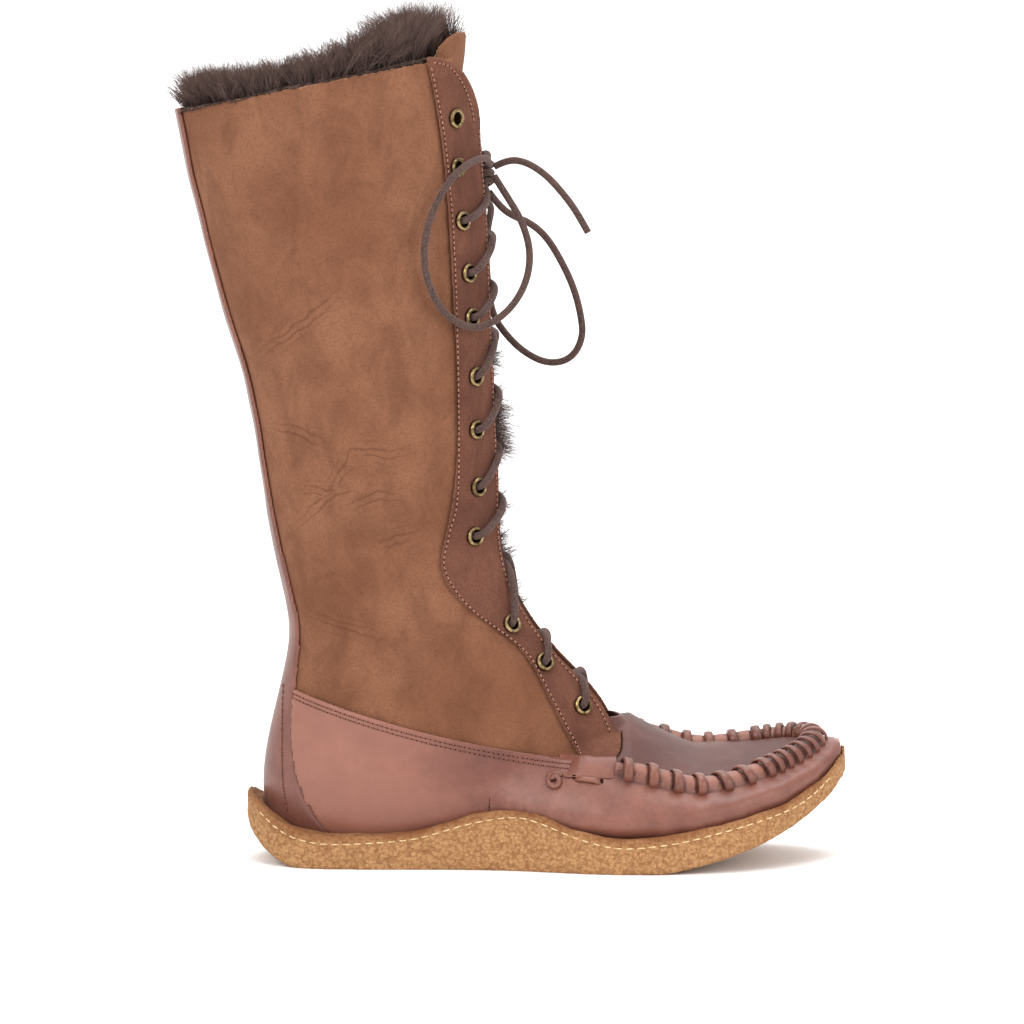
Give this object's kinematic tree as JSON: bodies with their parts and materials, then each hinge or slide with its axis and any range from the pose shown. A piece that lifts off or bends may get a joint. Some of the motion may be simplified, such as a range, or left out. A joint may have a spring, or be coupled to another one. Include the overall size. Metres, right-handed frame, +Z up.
{
  "type": "moccasin boot",
  "caption": "Tall lace-up moccasin boot for the right foot, with a shearling-lined suede shaft, whip-stitched leather toe plug and a cupped crepe sole.",
  "frame": {"origin": "on the ground under the middle of the boot's length and width", "axes": "+Z up; +X towards the toe; +Y towards the medial (inner) side of this right boot"},
  "size_m": [0.3116, 0.114, 0.388],
  "materials": {
    "crepe_rubber": "matte grained crepe",
    "fibre_board": "matte",
    "shearling_wool": "deep wool pile",
    "smooth_leather": "satin smooth leather",
    "thong_leather": "satin",
    "shaft_suede": "napped suede",
    "eyestay_suede": "napped suede",
    "facing_leather": "matte, raw edges",
    "antique_brass": "antiqued",
    "lace_suede": "matte suede cord"
  },
  "bodies": {
    "boot": {"crepe_outsole": "crepe_rubber", "insole_board": "fibre_board", "heel_stiffener": "fibre_board", "shearling_footbed": "shearling_wool", "foot_lining_lateral": "shearling_wool", "foot_lining_medial": "shearling_wool", "wool_lining_lateral": "shearling_wool", "wool_lining_medial": "shearling_wool", "moccasin_wrap": "smooth_leather", "back_stay": "smooth_leather", "toe_plug": "smooth_leather", "whip_stitch_thong": "thong_leather", "thong_knot_lateral": "thong_leather", "thong_knot_medial": "thong_leather", "shaft_panel_lateral": "shaft_suede", "shaft_panel_medial": "shaft_suede", "eyestay_lateral": "eyestay_suede", "eyestay_medial": "eyestay_suede", "facing_lining_lateral": "facing_leather", "facing_lining_medial": "facing_leather", "eyelets_lateral": "antique_brass", "eyelets_medial": "antique_brass", "laced_strands": "lace_suede", "bow_knot": "lace_suede", "lace_loop_lateral": "lace_suede", "lace_loop_medial": "lace_suede", "lace_end_lateral": "lace_suede", "lace_end_medial": "lace_suede"},
    "tongue_flap": {"tongue": "shaft_suede", "tongue_wool": "shearling_wool"}
  },
  "joints": [
    {"name": "tongue_hinge", "type": "hinge", "parent": "boot", "child": "tongue_flap", "pos_m": [0.042, 0, 0.07], "axis": [0, 1, 0], "range_deg": [-8, 0]}
  ]
}
